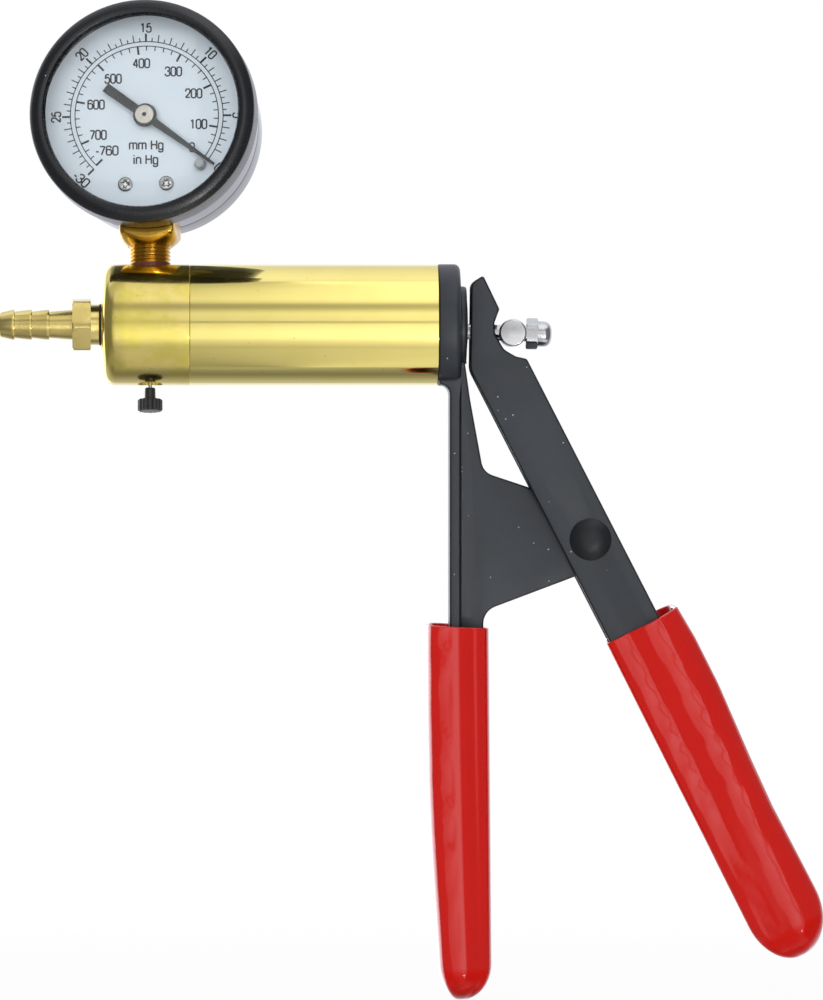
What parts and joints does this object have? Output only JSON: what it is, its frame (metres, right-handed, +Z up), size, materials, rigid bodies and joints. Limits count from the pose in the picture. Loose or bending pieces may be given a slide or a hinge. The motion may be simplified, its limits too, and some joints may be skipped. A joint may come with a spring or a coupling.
{
  "type": "hand vacuum pump",
  "caption": "Hand-squeezed vacuum pump with a round dial gauge, a hose barb, a gold barrel, a push-button release valve and two dipped handle grips.",
  "frame": {"origin": "on the barrel axis, in the middle of the hose barb's crests", "axes": "+X along the barrel from the barb to the handles, +Z up towards the gauge, -Y towards the reader of the dial"},
  "size_m": [0.2067, 0.044, 0.2499],
  "materials": {
    "barb_brass": "satin turned brass",
    "head_brass": "dull turned brass",
    "gold_tube": "polished gold anodised tube",
    "charcoal_paint": "satin charcoal paint",
    "red_grip": "glossy red dipped coating",
    "zinc": "bright zinc plating",
    "spring_steel": "plain spring steel",
    "black_rubber": "black rubber",
    "white_plastic": "white moulded plastic",
    "knob_black": "black moulded plastic",
    "gauge_black": "gloss black enamel",
    "bezel_black": "satin black plastic",
    "lens_clear": "clear flat lens",
    "dial_white": "pale printed dial",
    "pointer_grey": "dark grey paint",
    "gauge_brass": "warm brown brass",
    "seal_brown": "reddish thread sealant"
  },
  "bodies": {
    "frame": {"hose_barb": "barb_brass", "barb_seal": "black_rubber", "cylinder_head": "head_brass", "head_ring": "black_rubber", "inlet_valve": "black_rubber", "thread_seal": "seal_brown", "barrel": "gold_tube", "frame_casting": "charcoal_paint", "fixed_grip": "red_grip", "pivot_rivet": "charcoal_paint", "pivot_washers": "spring_steel", "return_spring": "spring_steel", "release_spring": "spring_steel", "release_bush": "head_brass", "gauge_socket": "gauge_brass", "gauge_case": "gauge_black", "gauge_bezel": "bezel_black", "lens": "lens_clear", "lens_gasket": "black_rubber", "dial": "dial_white", "dial_screws": "zinc", "stop_pin": "zinc", "movement_plates": "gauge_brass", "movement_posts": "gauge_brass", "movement_screws": "zinc", "hairspring": "spring_steel", "pressure_tube": "gauge_brass", "tube_link": "zinc"},
    "lever": {"lever": "charcoal_paint", "lever_grip": "red_grip"},
    "rod": {"piston_rod": "zinc", "cross_pin": "zinc", "acorn_nut": "zinc"},
    "piston": {"piston": "white_plastic", "cup_seal": "black_rubber", "rod_keeper": "zinc", "keeper_ring": "spring_steel"},
    "release": {"release_stem": "zinc", "release_knob": "knob_black", "release_poppet": "black_rubber", "release_collar": "zinc"},
    "pointer": {"pointer": "pointer_grey", "pointer_cap": "zinc", "pinion_arbor": "gauge_brass"},
    "sector": {"sector_gear": "gauge_brass"}
  },
  "joints": [
    {"name": "lever_swing", "type": "hinge", "parent": "frame", "child": "lever", "pos_m": [0.1396, 0, -0.0536], "axis": [0, 1, 0], "range_deg": [0, 30], "stiffness_Nm_per_rad": 1.7, "springref_deg": -26.93},
    {"name": "rod_turn", "type": "hinge", "parent": "lever", "child": "rod", "pos_m": [0.12025, 0, -0.00203], "axis": [0, 1, 0], "range_deg": [-33.5, 0.5]},
    {"name": "piston_slide", "type": "slide", "parent": "frame", "child": "piston", "axis": [1, 0, 0], "range_m": [0, 0.0285], "deforming": ["return_spring"]},
    {"name": "release_push", "type": "slide", "parent": "frame", "child": "release", "axis": [0, 0.1564, 0.9877], "range_m": [0, 0.0015], "stiffness_N_per_m": 400, "springref_m": -0.0015, "deforming": ["release_spring"]},
    {"name": "sector_swing", "type": "hinge", "parent": "frame", "child": "sector", "pos_m": [0.04342, 0.00617, 0.05117], "axis": [0.1392, 0.9781, -0.1549], "range_deg": [0, 26.2], "stiffness_Nm_per_rad": 0.004, "springref_deg": -5.73},
    {"name": "pointer_turn", "type": "hinge", "parent": "frame", "child": "pointer", "pos_m": [0.0298, 0.00806, 0.05087], "axis": [-0.1392, -0.9781, 0.1549], "range_deg": [0, 262.5]}
  ],
  "couplings": [
    {"joint": "rod_turn", "follows": "lever_swing", "ratio": -1.1},
    {"joint": "piston_slide", "follows": "lever_swing", "m_per_rad": 0.05386},
    {"joint": "pointer_turn", "follows": "sector_swing", "ratio": 10}
  ]
}
